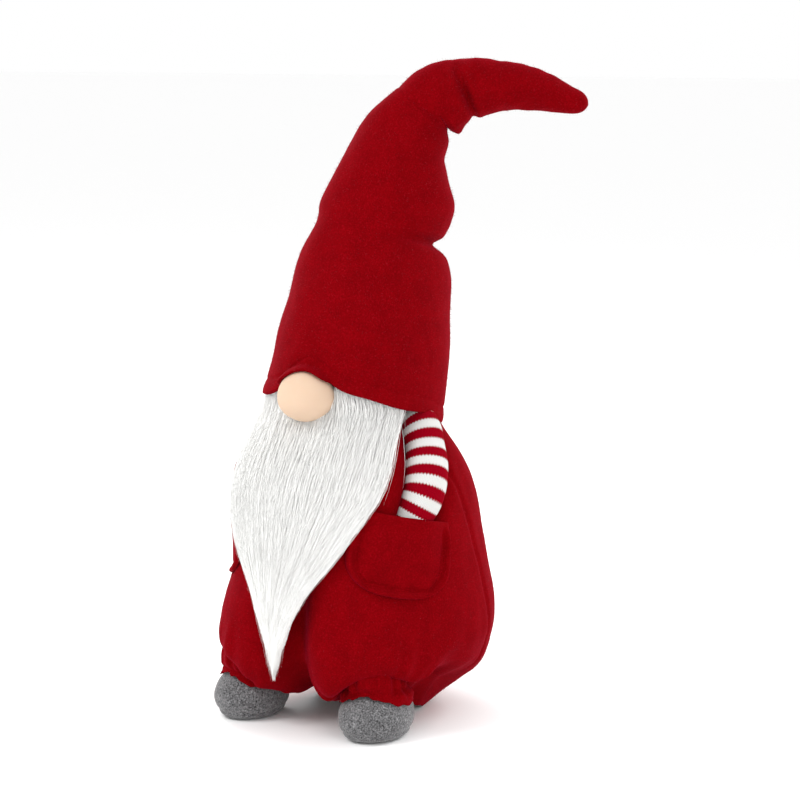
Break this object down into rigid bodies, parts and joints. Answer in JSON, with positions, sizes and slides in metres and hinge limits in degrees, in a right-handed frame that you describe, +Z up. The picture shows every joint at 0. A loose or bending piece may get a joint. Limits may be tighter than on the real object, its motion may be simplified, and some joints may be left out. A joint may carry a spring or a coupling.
{
  "type": "tomte gnome figurine",
  "caption": "Standing stuffed cloth tomte with a tall bent red hat, round nose, long white beard, hands in the pockets of red overalls, striped sleeves and grey felt shoes.",
  "frame": {"origin": "on the floor, in the middle of the flat seat under the body's axis", "axes": "+Z up, the figure faces -Y, its left is +X"},
  "size_m": [0.252, 0.2593, 0.5211],
  "materials": {
    "red_fleece": "napped fleece",
    "striped_knit": "red and white striped knit",
    "white_fur": "long silky pile",
    "peach_jersey": "smooth jersey",
    "grey_felt": "heathered wool felt",
    "fibrefill": "loose polyester fibre",
    "steel_wire": "bare wire",
    "weight_grains": "cloth bag of fine grains",
    "board": "plain card",
    "backing_cloth": "woven backing",
    "red_thread": "sewing thread",
    "elastic": "braided elastic"
  },
  "bodies": {
    "root": {"body_filling": "fibrefill", "body_top_cover": "red_fleece", "base_panel": "red_fleece", "base_board": "board", "weight_bag": "weight_grains", "nose_cover": "peach_jersey", "nose_filling": "fibrefill", "hat_lower": "red_fleece", "hat_lower_filling": "fibrefill", "hat_hem_stitching": "red_thread", "hat_wire_lower": "steel_wire", "overalls_front_left": "red_fleece", "overalls_back_left": "red_fleece", "pocket_left": "red_fleece", "ankle_elastic_left": "elastic", "overalls_front_right": "red_fleece", "overalls_back_right": "red_fleece", "pocket_right": "red_fleece", "ankle_elastic_right": "elastic"},
    "hat_middle_body": {"hat_middle": "red_fleece", "hat_middle_filling": "fibrefill", "hat_wire_middle": "steel_wire"},
    "hat_tip_body": {"hat_tip": "red_fleece", "hat_tip_filling": "fibrefill", "hat_wire_tip": "steel_wire"},
    "beard": {"beard_backing": "backing_cloth", "beard_pile": "white_fur"},
    "arm_left": {"sleeve_left": "striped_knit", "arm_filling_left": "fibrefill"},
    "shoe_left": {"shoe_upper_left": "grey_felt", "shoe_sole_left": "grey_felt", "shoe_filling_left": "fibrefill"},
    "arm_right": {"sleeve_right": "striped_knit", "arm_filling_right": "fibrefill"},
    "shoe_right": {"shoe_upper_right": "grey_felt", "shoe_sole_right": "grey_felt", "shoe_filling_right": "fibrefill"}
  },
  "joints": [
    {"name": "hat_bend", "type": "hinge", "parent": "root", "child": "hat_middle_body", "pos_m": [0.00102, 0.03176, 0.37714], "axis": [-0.5446, 0.8387, 0], "range_deg": [-15, 15]},
    {"name": "hat_tip_bend", "type": "hinge", "parent": "hat_middle_body", "child": "hat_tip_body", "pos_m": [0.03359, 0.06256, 0.48081], "axis": [-0.5446, 0.8387, 0], "range_deg": [-15, 15]},
    {"name": "beard_lift", "type": "hinge", "parent": "root", "child": "beard", "pos_m": [0, -0.064, 0.248], "axis": [-1, 0, 0], "range_deg": [0, 50]},
    {"name": "arm_swing_left", "type": "hinge", "parent": "root", "child": "arm_left", "pos_m": [0.057, 0, 0.248], "axis": [0.9511, -0.309, 0], "range_deg": [-3, 3]},
    {"name": "shoe_turn_left", "type": "hinge", "parent": "root", "child": "shoe_left", "pos_m": [0.06, -0.062, 0.03], "axis": [0, 0, 1], "range_deg": [-15, 15]},
    {"name": "arm_swing_right", "type": "hinge", "parent": "root", "child": "arm_right", "pos_m": [-0.057, 0, 0.248], "axis": [-0.9511, -0.309, 0], "range_deg": [-3, 3]},
    {"name": "shoe_turn_right", "type": "hinge", "parent": "root", "child": "shoe_right", "pos_m": [-0.06, -0.062, 0.03], "axis": [0, 0, 1], "range_deg": [-15, 15]}
  ]
}
